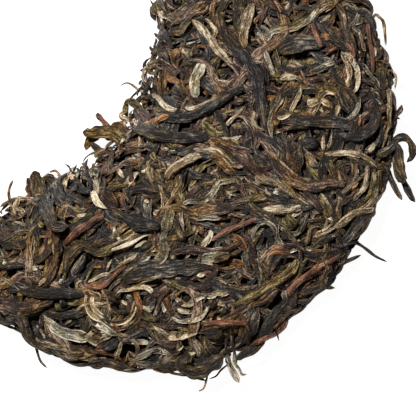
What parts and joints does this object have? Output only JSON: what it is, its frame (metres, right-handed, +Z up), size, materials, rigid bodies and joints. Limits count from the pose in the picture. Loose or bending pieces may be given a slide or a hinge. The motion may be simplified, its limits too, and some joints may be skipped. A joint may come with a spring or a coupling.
{
  "type": "pu erh tea cake piece",
  "caption": "Flat round cake of pressed whole tea leaves with one side broken away in a rounded wedge, twisted leaves and stems showing on the dome, the rim and the broken face.",
  "frame": {"origin": "centre of the bounding box, at the flat foot that rests on the table", "axes": "+Z up through the thickness of the cake; +X and +Y lie in the plane of the table, with the broken side towards -X and +Y"},
  "size_m": [0.1982, 0.2084, 0.0257],
  "materials": {
    "tea_leaf": "matte dried leaf with a slight sheen"
  },
  "bodies": {
    "root": {"tea_cake": "tea_leaf"}
  },
  "joints": []
}
